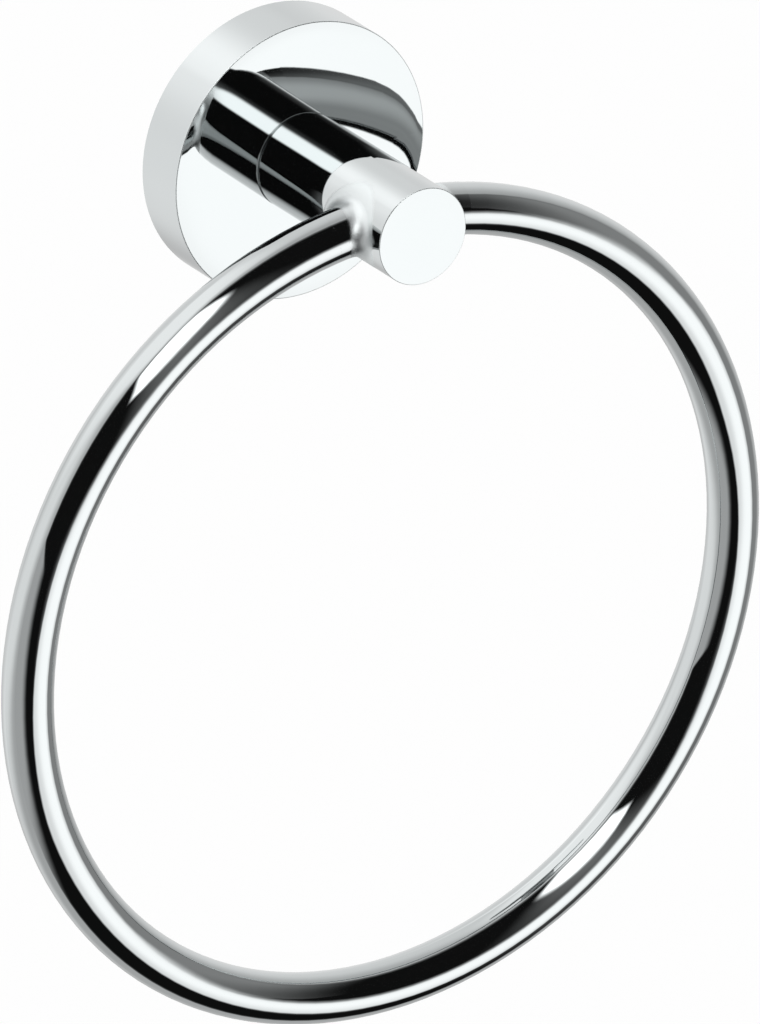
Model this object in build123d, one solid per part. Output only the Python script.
from build123d import *
import math
import os

# Towel ring of chrome-plated brass, held on the wall by a hidden bracket.
# Millimetres. The wall is the plane y = 0 and the object stands out along -Y.
# +Z is up, and the origin is on the wall at the middle of the rosette.

# Rosette: the round cup that covers the wall bracket. Its face is flat in the
# middle and falls away a little towards the rim, where the polishing wheel rolled over.
ROSETTE_R = 28.0
ROSETTE_DEPTH = 11.8
ROSETTE_FACE = 3.0
ROSETTE_WALL = 2.5
ROSETTE_EDGE_R = 0.2
ROLL_OFF_WIDTH = 7.0
ROLL_OFF_DROP = 0.28

# Post: a cast bar with a rounded foot and two stubs that carry the ring
POST_R = 9.75
POST_REACH = 53.7
POST_EDGE_R = 0.15
FOOT_EDGE_R = 0.5
STUB_FILLET_R = 3.0

# Ring: a bent tube whose ends slide over spigots on the post's stubs
RING_R = 80.0
RING_PLANE = 43.0
TUBE_R = 5.0
TUBE_WALL = 1.0
STUB_HALF_ANGLE = 10.5
SPIGOT_ANGLE = 6.0
SPIGOT_GAP = 0.15

# Wall bracket: a shallow dish with a V groove round its rim
BRACKET_GAP = 0.3
BRACKET_HEIGHT = 7.4
BRACKET_FLOOR = 3.0
BRACKET_RIM = 3.5
WALL_HOLE_SPACING = 28.0
WALL_HOLE_R = 2.5
GROOVE_AT = 4.6
GROOVE_DEPTH = 1.45
GROOVE_MOUTH = 4.7
GROOVE_BOTTOM = 2.0

# Grub screw, M4 with a hexagon socket and a cone point
GRUB_R = 2.0
GRUB_SINK = 0.2
GRUB_TIP_R = 0.85
GRUB_TIP_GAP = 0.15
GRUB_SOCKET_AF = 2.0
GRUB_SOCKET_DEPTH = 1.6

# Post screw, M6 button head, with a split lock washer under its head
SCREW_R = 3.0
SCREW_LENGTH = 20.0
SCREW_HEAD_R = 5.25
SCREW_HEAD_HEIGHT = 3.3
SCREW_HEAD_ROUND = 2.4
SCREW_SOCKET_AF = 4.0
SCREW_SOCKET_DEPTH = 2.0
SCREW_HOLE_R = 3.3
TAP_RUNOUT = 2.2
WASHER_R = 5.4
WASHER_THICKNESS = 1.2
WASHER_SLIT = 1.2

# Locating pin that keeps the post from turning on the rosette
PIN_R = 1.5
PIN_LENGTH = 7.0
PIN_INTO_POST = 4.5

# Radial room of a pin or a screw in the hole that holds it
FIT = 0.05

# Sizes that follow from the ones above
CUP_R = ROSETTE_R - ROSETTE_WALL
CUP_DEPTH = ROSETTE_DEPTH - ROSETTE_FACE
BRACKET_R = CUP_R - BRACKET_GAP
GROOVE_R = BRACKET_R - GROOVE_DEPTH
SCREW_HEAD_AT = CUP_DEPTH - WASHER_THICKNESS
PIN_AT = (SCREW_R + POST_R) / 2

# Each piece is modelled with +Z as the distance from the wall and +Y as up
FROM_BASE = (Align.CENTER, Align.CENTER, Align.MIN)
STAND_OUT = Rot(90, 0, 0)


def rod(radius, start, end):
    """A round bar on the post's axis between two distances from the wall."""
    return Pos(0, 0, start) * Cylinder(radius, end - start, align=FROM_BASE)


def hex_socket(across_flats, depth):
    """The hollow that a hexagon key fits, from z = 0 upwards."""
    hexagon = RegularPolygon(across_flats / math.sqrt(3), 6)
    return extrude(hexagon, depth)


def ring_arc(tube_r, start, end):
    """A bent bar on the ring's circle, with its angles counted from the top."""
    arc = Torus(RING_R, tube_r, major_angle=end - start, align=None)
    return Pos(0, -RING_R, RING_PLANE) * Rot(0, 0, 90 + start) * arc


def grub_place():
    """Puts a screw modelled along +Z under the rosette, pointing up at the bracket."""
    return Pos(0, -ROSETTE_R, GROOVE_AT) * Rot(-90, 0, 0)


def make_rosette():
    flat_r = ROSETTE_R - ROLL_OFF_WIDTH
    rim_at = ROSETTE_DEPTH - ROLL_OFF_DROP
    roll_off = Bezier(
        (flat_r, ROSETTE_DEPTH),
        (flat_r + ROLL_OFF_WIDTH / 3, ROSETTE_DEPTH),
        (flat_r + ROLL_OFF_WIDTH * 2 / 3, ROSETTE_DEPTH),
        (ROSETTE_R, rim_at),
    )
    side = Polyline((0, ROSETTE_DEPTH), (0, 0), (ROSETTE_R, 0), (ROSETTE_R, rim_at))
    flat = Line((0, ROSETTE_DEPTH), (flat_r, ROSETTE_DEPTH))
    profile = Plane.XZ * make_face([side, roll_off, flat])
    cup = revolve(profile, Axis.Z)
    outer_circles = cup.edges().filter_by(GeomType.CIRCLE).group_by(SortBy.RADIUS)[-1]
    cup = fillet(outer_circles.sort_by(Axis.Z)[-1], ROSETTE_EDGE_R)
    cup -= rod(CUP_R, 0, CUP_DEPTH)
    cup -= rod(SCREW_HOLE_R, 0, ROSETTE_DEPTH)
    cup -= Pos(0, PIN_AT) * rod(PIN_R + FIT, 0, ROSETTE_DEPTH)
    cup -= grub_place() * Cylinder(GRUB_R + FIT, 2 * (ROSETTE_WALL + 1))
    return cup


def make_wall_bracket():
    dish = rod(BRACKET_R, 0, BRACKET_HEIGHT)
    dish -= rod(BRACKET_R - BRACKET_RIM, BRACKET_FLOOR, BRACKET_HEIGHT)
    groove = Plane.XZ * make_face(
        Polyline(
            (BRACKET_R + 1, GROOVE_AT - GROOVE_MOUTH / 2),
            (BRACKET_R, GROOVE_AT - GROOVE_MOUTH / 2),
            (GROOVE_R, GROOVE_AT - GROOVE_BOTTOM / 2),
            (GROOVE_R, GROOVE_AT + GROOVE_BOTTOM / 2),
            (BRACKET_R, GROOVE_AT + GROOVE_MOUTH / 2),
            (BRACKET_R + 1, GROOVE_AT + GROOVE_MOUTH / 2),
            close=True,
        )
    )
    dish -= revolve(groove, Axis.Z)
    for side in (-1, 1):
        hole = rod(WALL_HOLE_R, 0, BRACKET_FLOOR)
        dish -= Pos(side * WALL_HOLE_SPACING / 2, 0) * hole
    return dish


def make_grub_screw():
    outer_end = GRUB_SINK
    tip = ROSETTE_R - GROOVE_R - GRUB_TIP_GAP
    cone_length = GRUB_R - GRUB_TIP_R
    screw = rod(GRUB_R, outer_end, tip - cone_length)
    cone = Cone(GRUB_R, GRUB_TIP_R, cone_length, align=FROM_BASE)
    screw += Pos(0, 0, tip - cone_length) * cone
    screw -= Pos(0, 0, outer_end) * hex_socket(GRUB_SOCKET_AF, GRUB_SOCKET_DEPTH)
    return grub_place() * screw


def make_post():
    foot = ROSETTE_DEPTH
    outline = [
        Line((0, foot), (POST_R - FOOT_EDGE_R, foot)),
        CenterArc((POST_R - FOOT_EDGE_R, foot + FOOT_EDGE_R), FOOT_EDGE_R, 270, 90),
        Line((POST_R, foot + FOOT_EDGE_R), (POST_R, POST_REACH - POST_EDGE_R)),
        CenterArc((POST_R - POST_EDGE_R, POST_REACH - POST_EDGE_R), POST_EDGE_R, 0, 90),
        Line((POST_R - POST_EDGE_R, POST_REACH), (0, POST_REACH)),
        Line((0, POST_REACH), (0, foot)),
    ]
    profile = Plane.XZ * make_face(outline)
    bar = Rot(0, 0, 90) * revolve(profile, Axis.Z)
    stubs = ring_arc(TUBE_R, -STUB_HALF_ANGLE, STUB_HALF_ANGLE)
    body = bar + stubs
    body = fillet(stub_roots(body), STUB_FILLET_R)
    for side in (-1, 1):
        start = side * STUB_HALF_ANGLE
        end = side * (STUB_HALF_ANGLE + SPIGOT_ANGLE)
        inner = start - side * 2
        spigot_r = TUBE_R - TUBE_WALL - SPIGOT_GAP
        body += ring_arc(spigot_r, min(inner, end), max(inner, end))
    thread_end = SCREW_HEAD_AT + SCREW_LENGTH + TAP_RUNOUT
    body -= rod(SCREW_R + FIT, foot, thread_end)
    body -= Pos(0, PIN_AT) * rod(PIN_R + FIT, foot, foot + PIN_INTO_POST + 0.5)
    return body


def stub_roots(body):
    """The two saddle-shaped edges where the stubs leave the bar."""
    roots = []
    for edge in body.edges():
        middle = edge.center()
        near_side = POST_R * 0.7 < abs(middle.X) < POST_R + 0.5
        near_ring = abs(middle.Z - RING_PLANE) < TUBE_R
        if near_side and near_ring and edge.geom_type not in (GeomType.LINE, GeomType.CIRCLE):
            roots.append(edge)
    return roots


def make_ring():
    first = STUB_HALF_ANGLE
    last = 360 - STUB_HALF_ANGLE
    tube = ring_arc(TUBE_R, first, last)
    return tube - ring_arc(TUBE_R - TUBE_WALL, first, last)


def make_post_screw():
    head = rod(SCREW_HEAD_R, SCREW_HEAD_AT - SCREW_HEAD_HEIGHT, SCREW_HEAD_AT)
    head = fillet(head.edges().sort_by(Axis.Z)[0], SCREW_HEAD_ROUND)
    screw = head + rod(SCREW_R, SCREW_HEAD_AT, SCREW_HEAD_AT + SCREW_LENGTH)
    socket = hex_socket(SCREW_SOCKET_AF, SCREW_SOCKET_DEPTH)
    return screw - Pos(0, 0, SCREW_HEAD_AT - SCREW_HEAD_HEIGHT) * socket


def make_lock_washer():
    washer = rod(WASHER_R, SCREW_HEAD_AT, CUP_DEPTH)
    washer -= rod(SCREW_R + 4 * FIT, SCREW_HEAD_AT, CUP_DEPTH)
    slit = Box(WASHER_SLIT, WASHER_R, 4 * WASHER_THICKNESS)
    return washer - Pos(0, WASHER_R, CUP_DEPTH) * slit


def make_locating_pin():
    end = ROSETTE_DEPTH + PIN_INTO_POST
    return Pos(0, PIN_AT) * rod(PIN_R, end - PIN_LENGTH, end)


PIECES = {
    "rosette": make_rosette,
    "wall_bracket": make_wall_bracket,
    "rosette_grub_screw": make_grub_screw,
    "post": make_post,
    "ring": make_ring,
    "post_screw": make_post_screw,
    "post_lock_washer": make_lock_washer,
    "locating_pin": make_locating_pin,
}

os.makedirs("parts", exist_ok=True)
for name, make in PIECES.items():
    export_step(STAND_OUT * make(), f"parts/{name}.step")
